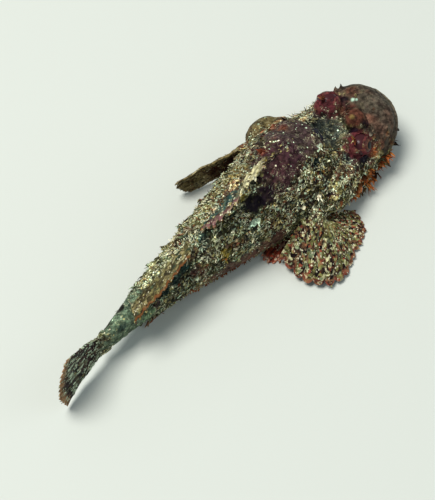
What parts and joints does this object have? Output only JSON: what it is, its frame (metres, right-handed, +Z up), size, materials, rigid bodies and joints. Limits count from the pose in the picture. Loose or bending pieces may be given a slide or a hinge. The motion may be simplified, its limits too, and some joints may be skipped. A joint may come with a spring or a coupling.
{
  "type": "bearded scorpionfish",
  "caption": "Still life-size scorpionfish resting on its belly, humped behind a wide low head, with fringed chin, raised eyes, and fanned and folded fins.",
  "frame": {"origin": "middle of the flat of the belly, between the pectoral fins", "axes": "+X towards the head, +Y to the fish's left, +Z up"},
  "size_m": [0.1999, 0.0798, 0.0562],
  "materials": {
    "skin": "mottled damp skin with skin flaps",
    "jaw_skin": "smooth dark brown skin",
    "cheek": "mottled skin over a bony plate",
    "fin": "thin rayed membrane, mottled",
    "tail": "thin rayed membrane, dark with pale spots",
    "eye": "wet and glossy"
  },
  "bodies": {
    "root": {"head": "skin", "shoulders": "skin", "rear_body": "skin", "tail_stalk": "skin", "lower_jaw": "jaw_skin", "gill_cover_left": "cheek", "gill_cover_right": "cheek", "eye_left": "eye", "eye_right": "eye", "dorsal_fin_spines": "fin", "dorsal_fin_soft": "fin", "anal_fin": "fin", "pelvic_fin_left": "fin", "pelvic_fin_right": "fin", "pectoral_fin_left": "fin", "pectoral_fin_right": "fin", "tail_fin": "tail"}
  },
  "joints": []
}
